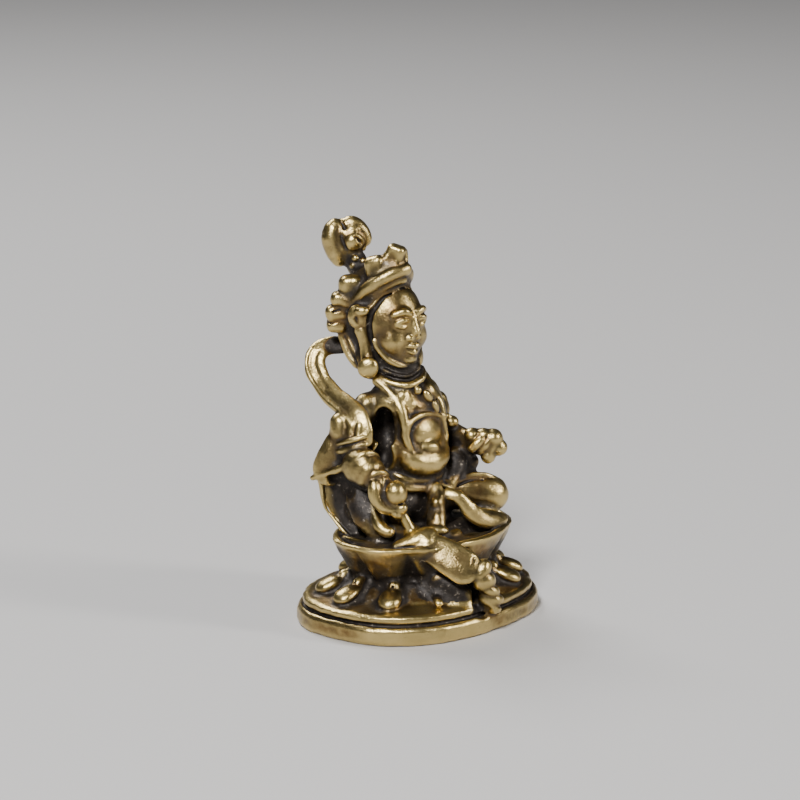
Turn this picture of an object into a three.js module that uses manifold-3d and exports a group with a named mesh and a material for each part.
// A small seated wealth deity, cast in one piece of solid brass with its lotus seat and base.
// Millimetres, +Z up. The figure faces -Y and its own right side is -X.
// The origin is the middle of the base's underside. The forms are placed from a level a little
// above the underside, BASE.bottom, and the joined solid is then lifted to stand on zero.
import * as THREE from 'three'
import { mergeVertices } from 'three/addons/utils/BufferGeometryUtils.js'
import Module from 'manifold-3d'

// Base: two oval steps, square-shouldered ovals in plan, turned a little against the figure
const BASE = { halfX: 12.4, halfY: 9.8, squareness: 2.4, turn: 5, bottom: -0.25, top: 1.55, edge: 0.35 }
const STEP = { inset: 0.75, bottom: 1.5, top: 2.55, edge: 0.25, groove: 1.2 }
const MOUND = { halfX: 7.4, halfY: 5.4, top: 4.5, centreY: -0.3 }

// Lotus seat: a hollowed bowl of hanging petals
const SEAT = { halfX: 9.7, halfY: 6.85, rim: 8.2, centreY: -0.5, lip: 0.55, well: 7.3 }
const PETALS = { count: 9, firstAngle: 5, relief: 0.7, tipShare: 0.6, softness: 0.35 }
const WAIST = { halfX: 7.2, halfY: 5.0, z: 4.1 }
const LEAVES = {
  angles: [0, 25, 50, 77, 104, 150, 180, 214, 243, 272, 306, 330],
  smallAngle: 243, smallSize: 0.45, smallDrop: 0.45,
  rootX: 7.5, rootY: 5.3, rootZ: 4.3, tipX: 11.2, tipY: 8.5, tipZ: 3.0, halfWidth: 1.0,
}

// Trunk
const PELVIS = { at: [0, 2.3, 10.4], size: [6.6, 3.9, 3.1] }
const BELLY = { at: [0, 1.9, 15.7], size: [4.9, 2.9, 3.1] }
const CHEST = { at: [0, 2.1, 20.0], size: [3.9, 2.7, 2.7] }
const BELLY_DOME = { at: [0.15, 0.1, 17.35], size: [2.4, 1.6, 2.1] }
const NAVEL_JEWEL = { at: [-0.3, -1.2, 15.75], radius: 0.6 }

// Head
const HEAD = { at: [-0.3, 4.0, 28.0], size: [3.3, 3.7, 4.0] }
const HAIR = { at: [-0.6, 5.0, 30.8], size: [2.5, 2.9, 2.6] }
const CROWN_X = -0.6
const NECK = { bottom: [0, 2.3, 20.8], top: [0, 3.2, 25.4], radius: 1.8 }
const BAND_RADIUS = 0.56

// Arms: the right hand rests on the thigh with a fruit, the left holds a mongoose
const SHOULDER = [-3.8, 3.0, 20.3]
const ELBOW = [-6.2, 4.0, 16.4]
const WRIST = [-6.2, -0.6, 14.1]
const HAND = [-5.9, -1.9, 13.0]
const FRUIT = { at: [-5.45, -2.65, 13.15], size: [1.12, 1.12, 1.2] }
const LEFT_WRIST = [6.0, -0.9, 15.7]
const FIST = [6.0, -2.2, 15.4]

// Legs: the right one hangs over the front of the seat, the left one lies folded
const KNEE_PAD_END = [-2.4, -5.3, 8.7]
const CUFF = [-2.25, -8.75, 6.0]
const ANKLE = [-0.5, -9.5, 4.7]
const TOE = [0.35, -10.0, 2.7]
const LEFT_KNEE = [7.7, -3.2, 10.5]

const BRASS = { color: 0xb08d4a, roughness: 0.36, metalness: 1.0 }

const wasm = await Module()
wasm.setup()

// Joining and cutting

function toSolid(geometry) {
  geometry.deleteAttribute('normal')
  geometry.deleteAttribute('uv')
  const merged = mergeVertices(geometry, 1e-4)
  const mesh = new wasm.Mesh({
    numProp: 3,
    vertProperties: Float32Array.from(merged.attributes.position.array),
    triVerts: Uint32Array.from(merged.index.array),
  })
  return new wasm.Manifold(mesh)
}

function toGeometry(solid) {
  const { vertProperties, triVerts } = solid.getMesh()
  const geometry = new THREE.BufferGeometry()
  geometry.setAttribute('position', new THREE.BufferAttribute(vertProperties, 3))
  geometry.setIndex(new THREE.BufferAttribute(triVerts, 1))
  geometry.computeVertexNormals()
  return geometry
}

const join = (solids) => solids.reduce((whole, piece) => whole.add(piece))

// Forms that the figure is made of

const mirror = ([x, y, z]) => [-x, y, z]
const mirrorAll = (points) => points.map(mirror)
const mirrorHead = (points) => points.map(([x, y, z]) => [2 * CROWN_X - x, y, z])

function ball(at, size, { turn = [0, 0, 0], sides = 8, rings = 5 } = {}) {
  const geometry = new THREE.SphereGeometry(1, sides, rings)
  const [pitch, roll, yaw] = turn.map(THREE.MathUtils.degToRad)
  geometry.rotateX(Math.PI / 2)
  geometry.scale(...size)
  geometry.rotateX(pitch)
  geometry.rotateY(roll)
  geometry.rotateZ(yaw)
  geometry.translate(...at)
  return toSolid(geometry)
}

const valueAlong = (values, t) => {
  const place = Math.min(t * (values.length - 1), values.length - 1 - 1e-9)
  const index = Math.floor(place)
  return THREE.MathUtils.lerp(values[index], values[index + 1], place - index)
}

function pathThrough(points, closed = false) {
  const corners = points.map((point) => new THREE.Vector3(...point))
  return new THREE.CatmullRomCurve3(corners, closed, 'catmullrom', 0.5)
}

function frameAt(path, t, face) {
  const along = path.getTangent(t)
  const normal = new THREE.Vector3(...face)
  normal.addScaledVector(along, -normal.dot(along)).normalize()
  return { centre: path.getPoint(t), normal, across: new THREE.Vector3().crossVectors(normal, along) }
}

// A round-ended limb or ribbon: half widths along a path, flattened towards the face direction
function limb(points, widths, { flat = 1, face = [0, 0, 1], sides = 6, rings = 6 } = {}) {
  const path = pathThrough(points)
  const geometry = new THREE.SphereGeometry(1, sides, rings)
  const position = geometry.attributes.position
  for (let i = 0; i < position.count; i++) {
    const t = Math.acos(THREE.MathUtils.clamp(position.getY(i), -1, 1)) / Math.PI
    const { centre, normal, across } = frameAt(path, t, face)
    const atEnd = t < 1e-6 || t > 1 - 1e-6
    const half = atEnd ? 0 : valueAlong(widths, t)
    const angle = Math.atan2(position.getZ(i), position.getX(i))
    centre.addScaledVector(across, half * Math.cos(angle))
    centre.addScaledVector(normal, half * flat * Math.sin(angle))
    position.setXYZ(i, centre.x, centre.y, centre.z)
  }
  return toSolid(geometry)
}

// A closed hoop of even thickness through its points
function hoop(points, radius, { flat = 1, face = [0, 0, 1], sides = 6, rings = 20 } = {}) {
  const path = pathThrough(points, true)
  const geometry = new THREE.TorusGeometry(2, 1, sides, rings)
  const position = geometry.attributes.position
  for (let i = 0; i < position.count; i++) {
    const [x, y, z] = [position.getX(i), position.getY(i), position.getZ(i)]
    const t = (Math.atan2(y, x) / (2 * Math.PI) + 1) % 1
    const { centre, normal, across } = frameAt(path, t, face)
    const outward = Math.hypot(x, y) - 2
    centre.addScaledVector(across, -outward * radius)
    centre.addScaledVector(normal, z * radius * flat)
    position.setXYZ(i, centre.x, centre.y, centre.z)
  }
  return toSolid(geometry)
}

// An oval block with its outline at each height given by halfAt(level, angle)
function stack(levels, outline, sides) {
  const profile = [new THREE.Vector2(0, levels[0])]
  levels.forEach((z) => profile.push(new THREE.Vector2(1, z)))
  profile.push(new THREE.Vector2(0, levels[levels.length - 1]))
  const geometry = new THREE.LatheGeometry(profile, sides)
  const position = geometry.attributes.position
  const column = profile.length
  for (let i = 0; i < position.count; i++) {
    const level = (i % column) - 1
    const onAxis = level < 0 || level >= levels.length
    const angle = (2 * Math.PI * (Math.floor(i / column) % sides)) / sides
    const z = position.getY(i)
    const [x, y] = onAxis ? outline.axis : outline.at(level, angle)
    position.setXYZ(i, x, y, z)
  }
  return toSolid(geometry)
}

function squaredOval(halfX, halfY, squareness, angle) {
  const curve = (value) => Math.sign(value) * Math.abs(value) ** (2 / squareness)
  return [halfX * curve(Math.cos(angle)), halfY * curve(Math.sin(angle))]
}

// Base and seat

const baseOval = (halfX, halfY, squareness, angle) => {
  const [x, y] = squaredOval(halfX, halfY, squareness, angle)
  const turn = THREE.MathUtils.degToRad(BASE.turn)
  return [x * Math.cos(turn) - y * Math.sin(turn), x * Math.sin(turn) + y * Math.cos(turn)]
}

function baseSteps() {
  const rows = [
    [BASE.bottom, BASE.edge], [BASE.bottom + BASE.edge, 0],
    [BASE.top - BASE.edge, 0], [BASE.top, BASE.edge],
    [BASE.top + 0.05, STEP.groove], [STEP.bottom + 0.35, STEP.inset],
    [STEP.top - STEP.edge, STEP.inset], [STEP.top, STEP.inset + STEP.edge],
  ]
  const steps = stack(rows.map((row) => row[0]), {
    axis: [0, 0],
    at: (level, angle) => baseOval(
      BASE.halfX - rows[level][1], BASE.halfY - rows[level][1], BASE.squareness, angle),
  }, 28)
  const slope = [[STEP.top - 0.1, 0], [STEP.top + 0.3, 0.5], [MOUND.top, 1]]
  const mound = stack(slope.map((row) => row[0]), {
    axis: [0, MOUND.centreY],
    at: (level, angle) => {
      const inward = slope[level][1]
      const reach = BASE.halfX - STEP.inset - STEP.edge
      const depth = BASE.halfY - STEP.inset - STEP.edge
      const [x, y] = baseOval(
        THREE.MathUtils.lerp(reach, MOUND.halfX, inward),
        THREE.MathUtils.lerp(depth, MOUND.halfY, inward),
        THREE.MathUtils.lerp(BASE.squareness, 2, inward), angle)
      return [x, y + MOUND.centreY * inward]
    },
  }, 20)
  return steps.add(mound)
}

// How far an angle lies from its petal's middle: 0 on the middle line, 1 halfway to the next petal
const fromPetalMiddle = (angle) => {
  const pitch = 360 / PETALS.count
  const offset = (THREE.MathUtils.radToDeg(angle) - PETALS.firstAngle + 720 + pitch / 2) % pitch
  return Math.abs(offset / pitch - 0.5) * 2
}

function lotusSeat() {
  const rows = [
    [WAIST.z - 0.4, 0], [WAIST.z + 0.5, 0.08], [5.8, 0.4],
    [7.3, 0.82], [SEAT.rim - 0.2, 1], [SEAT.rim, 0.97],
  ]
  const bowl = stack(rows.map((row) => row[0]), {
    axis: [0, SEAT.centreY],
    at: (level, angle) => {
      const flare = rows[level][1]
      const petalHalf = THREE.MathUtils.lerp(PETALS.tipShare, 1.1, flare)
      const aside = THREE.MathUtils.smoothstep(
        fromPetalMiddle(angle), petalHalf - PETALS.softness, petalHalf + PETALS.softness / 2)
      const sunk = PETALS.relief * aside * Math.sin(Math.PI * Math.min(1, 0.25 + flare * 0.75))
      const halfX = THREE.MathUtils.lerp(WAIST.halfX, SEAT.halfX, flare) - sunk
      const halfY = THREE.MathUtils.lerp(WAIST.halfY, SEAT.halfY, flare) - sunk
      return [halfX * Math.cos(angle), halfY * Math.sin(angle) + SEAT.centreY]
    },
  }, 36)
  const well = [[SEAT.well, 1.1], [SEAT.rim + 0.4, 0]]
  const hollow = stack(well.map((row) => row[0]), {
    axis: [0, SEAT.centreY],
    at: (level, angle) => {
      const shrink = SEAT.lip + well[level][1]
      return [(SEAT.halfX - shrink) * Math.cos(angle),
        (SEAT.halfY - shrink) * Math.sin(angle) + SEAT.centreY]
    },
  }, 15)
  return bowl.subtract(hollow)
}

function baseLeaves() {
  return LEAVES.angles.map((degrees) => {
    const small = degrees === LEAVES.smallAngle
    const size = small ? LEAVES.smallSize : 1
    const drop = small ? LEAVES.smallDrop : 0
    const angle = THREE.MathUtils.degToRad(degrees)
    const [c, s] = [Math.cos(angle), Math.sin(angle)]
    const inner = [LEAVES.rootX * c, LEAVES.rootY * s + MOUND.centreY, LEAVES.rootZ]
    const tip = [LEAVES.tipX * c, LEAVES.tipY * s + MOUND.centreY, LEAVES.tipZ - drop]
    const root = tip.map((value, axis) => THREE.MathUtils.lerp(value, inner[axis], size))
    const middle = root.map((value, axis) => value * 0.4 + tip[axis] * 0.6)
    middle[2] += 0.25 * size
    const widths = [0.45, LEAVES.halfWidth, 0.8].map((width) => width * size)
    return limb([root, middle, tip], widths, { flat: 0.8, sides: 5, rings: 4 })
  })
}

// Trunk, legs and dress

function trunk() {
  return [
    ball(PELVIS.at, PELVIS.size, { sides: 10, rings: 5 }),
    ball(BELLY.at, BELLY.size, { sides: 12, rings: 7 }),
    ball(CHEST.at, CHEST.size, { sides: 10, rings: 6 }),
    ball(BELLY_DOME.at, BELLY_DOME.size, { sides: 9, rings: 5 }),
    ball(NAVEL_JEWEL.at, Array(3).fill(NAVEL_JEWEL.radius), { sides: 6, rings: 4 }),
    limb([[0, 3.6, 9], [0, 4.1, 15], [0, 3.6, 21.6]], [4.2, 3.9, 3.0],
      { flat: 0.45, face: [0, 1, 0], rings: 4 }),
  ]
}

function dress() {
  const bellyFrame = [
    [-1.6, -1.3, 15.3], [-2.4, -1.0, 16.6], [-2.65, -0.8, 18.3], [-2.2, -0.8, 19.2], [-0.2, -0.9, 19.5],
    [2.1, -0.75, 19.0], [2.8, -0.7, 17.6], [2.6, -0.95, 16.0], [1.6, -1.2, 15.4],
  ]
  const rollSide = [
    [-3.4, 3.0, 20.6], [-2.6, 1.0, 20.2], [-2.55, 0.4, 18.6], [-2.65, 0.1, 16.6], [-1.6, -0.8, 15.1],
  ]
  const roll = [...rollSide, [0, -1.15, 14.85], ...mirrorAll(rollSide).reverse()]
  const beltSide = [[-4.4, 1.5, 14.6], [-2.9, -0.3, 13.6], [-1.8, -1.1, 13.2]]
  const belt = [...beltSide, [-0.1, -1.5, 12.9], ...mirrorAll(beltSide).reverse()]
  const lapel = [
    [-3.1, 2.9, 22.8], [-2.8, 1.8, 22.1], [-2.55, 0.7, 21.2], [-2.5, -0.15, 20.2], [-2.5, -0.5, 19.4],
  ]
  const collar = [
    [-2.7, 3.0, 23.1], [-2.5, 1.5, 22.65], [-1.4, 0.15, 22.35], [0.1, -0.15, 22.7], [1.9, 1.6, 23.4],
  ]
  return [
    limb(bellyFrame, [0.3, 0.4, 0.4, 0.36, 0.32, 0.36, 0.4, 0.36, 0.3], { sides: 4, rings: 11 }),
    limb(roll, [0.8, 0.85, 0.95, 1.2, 1.35, 1.4, 1.35, 1.2, 0.95, 0.85, 0.8], { sides: 6, rings: 10 }),
    limb(belt, [0.5, 0.55, 0.6, 0.65, 0.6, 0.55, 0.5], { sides: 5, rings: 8 }),
    limb(lapel, [0.4, 0.45, 0.45, 0.45, 0.4], { sides: 5, rings: 5 }),
    limb(mirrorAll(lapel), [0.4, 0.45, 0.45, 0.45, 0.4], { sides: 5, rings: 5 }),
    limb(collar, [0.35, 0.4, 0.45, 0.4, 0.35], { sides: 5, rings: 6 }),
    ball([-0.55, -0.4, 21.8], [0.5, 0.5, 0.5], { sides: 6, rings: 4 }),
    ball([0.4, -0.5, 21.0], [0.5, 0.75, 0.8], { sides: 6, rings: 4 }),
    ball([1.3, -0.9, 19.95], [0.45, 0.5, 0.75], { sides: 6, rings: 4 }),
    limb([[0.1, -1.7, 12.9], [-0.2, -2.4, 12.0], [-0.7, -3.0, 10.9], [-1.2, -3.5, 9.8], [-1.9, -4.2, 8.6]],
      [0.8, 0.8, 0.75, 0.8, 1.1], { flat: 0.5, face: [-0.6, -0.8, 0.2], rings: 6 }),
    limb([[0.4, -2.9, 12.0], [1.5, -4.4, 11.2], [2.0, -4.8, 10.4], [3.4, -5.2, 9.4], [4.9, -5.3, 9.05],
      [6.6, -5.3, 8.85]],
    [0.5, 0.72, 0.8, 0.95, 0.9, 0.35], { flat: 0.55, face: [-0.55, -0.65, 0.55], rings: 7 }),
  ]
}

function legs() {
  return [
    limb([[-3.2, 1.6, 10.0], [-4.3, -2.0, 9.2], [-4.4, -4.8, 8.5], [-4.3, -6.2, 8.2]],
      [1.8, 1.5, 1.2, 0.9], { sides: 7, rings: 5 }),
    limb([[-6.2, -3.5, 8.5], [-4.2, -4.7, 9.0], KNEE_PAD_END], [0.6, 1.0, 0.7],
      { flat: 0.7, face: [-0.4, -0.5, 1], rings: 5 }),
    limb([[-4.2, -4.6, 8.4], [-3.9, -5.9, 7.9], [-3.3, -7.2, 7.2], CUFF, [-1.5, -9.4, 5.5]],
      [0.9, 1.2, 1.5, 1.65, 1.6], { flat: 0.6, face: [-0.6, -0.6, 0.5], sides: 7, rings: 7 }),
    limb([CUFF, [-1.1, -9.3, 5.2], ANKLE, [-0.1, -9.7, 4.1], [0.1, -9.8, 3.6], TOE, [-0.1, -9.5, 1.7]],
      [0.8, 0.8, 1.0, 0.65, 0.85, 0.7, 0.6], { rings: 9 }),
    limb([[2.4, 1.6, 11.0], [4.2, -0.6, 11.2], [6.2, -2.2, 10.9], LEFT_KNEE, [8.7, -3.7, 10.3]],
      [2.0, 1.9, 1.75, 1.6, 1.0], { sides: 8, rings: 7 }),
    limb([[3.4, -1.6, 12.2], [4.6, -2.1, 12.6], [6.0, -2.7, 12.65], [7.4, -3.3, 12.1]],
      [0.3, 0.35, 0.35, 0.3], { sides: 5, rings: 5 }),
    limb([[7.2, -3.4, 9.9], [4.5, -4.2, 9.4], [1.0, -4.2, 8.9], [-1.2, -4.4, 8.6]],
      [1.2, 1.1, 1.0, 0.8], { rings: 5 }),
    limb([[-6.0, 2.4, 11.6], [-6.2, 0.4, 10.9], [-6.1, -1.6, 9.7], [-6.0, -3.2, 8.8]],
      [1.3, 1.4, 1.15, 0.7], { rings: 5 }),
    limb([[-5.1, -2.9, 11.4], [-5.2, -3.8, 10.3], [-5.2, -4.5, 9.3]], [0.4, 0.5, 0.5], { rings: 4 }),
    ball([0, SEAT.centreY, 7.45], [9.0, 6.15, 1.45], { sides: 15 }),
  ]
}

// Arms and what they hold

function rightArm() {
  return [
    limb([[-2.6, 3.2, 20.7], SHOULDER, [-4.9, 3.3, 18.6], ELBOW, [-6.4, 1.2, 15.2], WRIST, HAND],
      [1.2, 1.3, 1.35, 1.5, 1.7, 1.15, 1.0], { sides: 7, rings: 10 }),
    limb([[-7.2, -0.6, 14.1], [-6.5, -1.2, 14.9], [-5.3, -1.1, 14.2]],
      [0.35, 0.4, 0.35], { sides: 5, rings: 4 }),
    limb([[-6.6, -0.8, 14.4], [-7.15, -1.4, 12.9], [-6.2, -2.4, 11.7], [-5.15, -3.4, 11.95]],
      [0.6, 0.7, 0.65, 0.5], { rings: 6 }),
    ball(FRUIT.at, FRUIT.size, { sides: 8, rings: 6 }),
    ball([-5.3, -3.4, 11.9], [0.7, 0.6, 0.45], { sides: 6, rings: 4 }),
    limb([[-6.6, 4.2, 18.0], [-6.0, 2.2, 18.3], [-4.7, 1.7, 18.6]],
      [0.3, 0.42, 0.3], { sides: 5, rings: 4 }),
  ]
}

function leftArm() {
  return [
    limb([[2.6, 2.8, 20.9], mirror(SHOULDER), [4.9, 3.1, 18.6], mirror(ELBOW), [6.3, 2.0, 15.9],
      LEFT_WRIST, FIST],
      [1.2, 1.3, 1.3, 1.4, 1.25, 1.05, 1.1], { sides: 7, rings: 9 }),
    ball([6.2, 1.6, 17.2], [0.7, 0.7, 0.6], { sides: 6, rings: 4 }),
    ball([5.9, -2.2, 16.3], [0.9, 0.95, 0.75], { sides: 6, rings: 4 }),
    ball([6.8, -3.1, 16.1], [0.9, 0.95, 0.85], { sides: 6, rings: 4 }),
    ball([7.2, -3.4, 15.0], [0.8, 0.8, 0.85], { sides: 6, rings: 4 }),
    ball([6.0, -3.0, 14.9], [0.8, 0.8, 0.7], { sides: 6, rings: 4 }),
    ball([6.2, -3.0, 14.5], [0.6, 0.6, 0.6], { sides: 6, rings: 4 }),
    limb([[6.0, -1.4, 15.3], [4.9, -0.7, 14.5], [3.8, -0.9, 13.2], [2.6, -1.1, 12.0]],
      [1.1, 1.45, 1.3, 0.9], { rings: 5 }),
  ]
}

// Scarf: an arch behind the neck, a loop out from each side and a tail down to the seat.
// On the right the loop lies over the arm's outside, on the left it goes in behind the arm.
function scarfSide(side) {
  const set = side < 0 ? (points) => points : mirrorAll
  const loopTop = [
    [-1.0, 6.6, 25.3], [-2.3, 7.7, 25.2], [-3.6, 8.8, 25.1], [-4.6, 9.1, 24.5], [-5.2, 8.8, 23.4],
    [-5.5, 7.6, 22.2], [-5.7, 6.0, 21.2],
  ]
  const overArm = {
    path: [[-5.8, 4.0, 20.4], [-5.9, 2.5, 19.6], [-6.0, 1.4, 18.4], [-5.8, 0.9, 17.1]],
    width: 1.0,
  }
  const behindArm = { path: [[-5.6, 5.0, 19.8], [-5.8, 4.6, 18.2]], width: 0.9 }
  const end = side < 0 ? overArm : behindArm
  const loop = [...loopTop, ...end.path]
  const wing = [[-5.9, 3.6, 17.9], [-6.9, 4.6, 16.3], [-7.7, 5.6, 15.0], [-8.2, 6.1, 13.9]]
  const wingHem = [[-8.2, 6.1, 14.0], [-7.4, 4.8, 14.5], [-6.5, 3.2, 15.0]]
  const tail = [
    [-7.5, 5.6, 14.5], [-7.2, 5.3, 11.9], [-7.2, 4.3, 10.3], [-7.1, 3.1, 8.9], [-7.0, 1.8, 7.6],
  ]
  return [
    limb(set(loop), [0.8, 0.85, 0.9, 1.0, 1.1, 1.0, end.width, 0.6],
      { flat: 0.45, face: [side * 0.8, -0.4, 0.45], rings: 12 }),
    limb(set(wing), [1.5, 1.7, 1.3, 0.6], { flat: 0.5, face: [side, -0.6, 0.3], rings: 5 }),
    limb(set(wingHem), [0.35, 0.4, 0.35], { sides: 5, rings: 4 }),
    limb(set(tail), [0.6, 0.85, 0.9, 0.8, 0.5],
      { flat: 0.4, face: [side, 0.5, 0.1], sides: 5, rings: 5 }),
  ]
}

// Head, face, crown and finial

function head() {
  const bandSide = [
    [-1.9, 2.5, 32.6], [-2.7, 3.7, 31.7], [-2.8, 5.3, 30.3], [-2.2, 6.8, 29.4],
  ]
  const band = [
    [CROWN_X, 2.05, 33.0], ...bandSide, [CROWN_X, 7.6, 29.0], ...mirrorHead(bandSide).reverse(),
  ]
  const parts = [
    limb([NECK.bottom, [0, 2.4, 23.0], NECK.top], [NECK.radius + 0.5, NECK.radius, NECK.radius],
      { sides: 8, rings: 4 }),
    ball(HEAD.at, HEAD.size, { sides: 11, rings: 7 }),
    ball(HAIR.at, HAIR.size, { sides: 8, rings: 5 }),
    ball([-0.5, 6.3, 27.7], [2.8, 2.4, 3.4], { sides: 7, rings: 4 }),
    hoop(band, BAND_RADIUS, { face: [0, 0.5, 1], sides: 4, rings: 14 }),
  ]
  for (const side of [-1, 1]) {
    const set = side < 0 ? (points) => points : mirrorHead
    const ear = [
      [-3.4, 4.9, 29.6], [-3.6, 4.7, 28.4], [-3.45, 4.2, 26.6], [-3.4, 3.6, 25.2], [-3.5, 3.2, 24.2],
    ]
    const lock = [[-2.6, 6.6, 27.4], [-2.9, 6.3, 26.4], [-2.8, 5.5, 25.0], [-2.4, 4.6, 23.9]]
    const ribbonFan = [
      [-2.1, 6.0, 32.2], [-2.6, 6.6, 31.4], [-2.9, 7.0, 30.5], [-3.1, 7.3, 29.7], [-3.1, 7.5, 28.9],
      [-3.2, 7.7, 28.1], [-3.0, 7.5, 27.1],
    ]
    parts.push(
      limb(set(ear), [0.65, 0.9, 0.6, 0.5, 0.6], { flat: 0.8, face: [side, 0, 0], sides: 5, rings: 5 }),
      limb(set(lock), [0.5, 0.75, 0.65, 0.5], { sides: 4, rings: 4 }),
      ball(set([[-3.7, 3.1, 23.9]])[0], [0.55, 0.95, 0.95], { turn: [0, 0, side * -25], rings: 4 }),
      limb(set(ribbonFan), [0.6, 1.0, 0.65, 1.1, 0.65, 1.05, 0.6], { rings: 8 }),
    )
  }
  return parts
}

function face() {
  const [x, y, z] = HEAD.at
  const front = y - HEAD.size[1]
  const parts = [
    limb([[x, front + 0.25, z + 0.4], [x, front - 0.15, z - 0.5], [x, front - 0.25, z - 1.1]],
      [0.25, 0.4, 0.5], { sides: 5, rings: 4 }),
    ball([x, front + 0.25, z - 2.0], [0.8, 0.45, 0.32], { sides: 6, rings: 4 }),
    ball([x, front + 1.9, z - 2.3], [2.2, 1.7, 1.7], { sides: 8, rings: 5 }),
    ball([x, front + 0.8, z - 3.0], [0.9, 0.6, 0.55], { sides: 6, rings: 4 }),
  ]
  for (const side of [-1, 1]) {
    parts.push(
      ball([x + side * 1.35, front + 0.45, z + 0.1], [0.65, 0.4, 0.32], { sides: 6, rings: 4 }),
      limb([[x + side * 0.4, front + 0.15, z + 0.75], [x + side * 1.3, front + 0.25, z + 1.1],
        [x + side * 2.3, front + 1.1, z + 0.7]], [0.2, 0.28, 0.2], { sides: 4, rings: 4 }),
      ball([x + side * 1.5, front + 1.5, z - 1.3], [1.4, 1.1, 1.3], { sides: 6, rings: 4 }),
    )
  }
  const jawSide = [[-3.1, 3.2, 27.2], [-2.8, 2.3, 25.5], [-1.8, 1.3, 24.3]]
  const jaw = [...jawSide, [x, 0.9, 24.0], ...jawSide.map(([u, v, w]) => [2 * x - u, v, w]).reverse()]
  parts.push(limb(jaw, [0.25, 0.35, 0.35, 0.35, 0.35, 0.35, 0.25], { sides: 4, rings: 8 }))
  return parts
}

function crown() {
  const leaf = { width: 1.15, flat: 0.5 }
  const parts = [
    limb([[CROWN_X, 2.3, 32.6], [CROWN_X, 2.7, 34.0], [CROWN_X, 3.4, 35.4]],
      [leaf.width, leaf.width, 0.7], { flat: leaf.flat, face: [0, -1, 0.4], rings: 4 }),
  ]
  for (const side of [-1, 1]) {
    parts.push(limb([[CROWN_X + side * 1.9, 3.1, 31.9], [CROWN_X + side * 2.1, 3.5, 33.1],
      [CROWN_X + side * 1.7, 4.1, 34.2]], [leaf.width, leaf.width, 0.6],
    { flat: leaf.flat, face: [side, -0.6, 0.4], rings: 4 }))
  }
  return parts
}

function finial() {
  return [
    limb([[-0.6, 6.6, 31.6], [-0.9, 7.6, 32.9], [-1.3, 8.3, 34.4]],
      [1.3, 1.0, 1.4], { sides: 6, rings: 4 }),
    ball([-1.3, 7.6, 35.2], [0.95, 0.95, 1.0]),
    limb([[-1.5, 8.6, 32.9], [-2.2, 9.2, 34.0], [-2.4, 9.3, 35.4], [-1.9, 8.8, 36.7], [-1.3, 8.4, 36.8]],
      [0.8, 1.0, 1.15, 1.0, 0.5], { flat: 0.8, face: [-1, 0.6, 0.3], sides: 7 }),
    limb([[-0.3, 7.3, 33.6], [0.2, 7.6, 34.9], [-0.1, 8.0, 36.0], [-1.0, 8.5, 36.8]],
      [0.6, 0.95, 1.1, 0.6], { flat: 0.8, face: [1, -0.3, 0.3], sides: 7, rings: 5 }),
    ball([-1.2, 8.8, 35.2], [1.5, 1.2, 1.7], { sides: 7 }),
  ]
}

const statueSolid = join([
  baseSteps(), lotusSeat(), ...baseLeaves(), ...trunk(), ...dress(), ...legs(),
  ...rightArm(), ...leftArm(), ...scarfSide(-1), ...scarfSide(1),
  ...head(), ...face(), ...crown(), ...finial(),
])

const brass = new THREE.MeshStandardMaterial(BRASS)
const geometry = toGeometry(statueSolid)
geometry.translate(0, 0, -BASE.bottom)
const statue = new THREE.Mesh(geometry, brass)
statue.name = 'jambhala_statue'

const model = new THREE.Group()
model.add(statue)

export default model
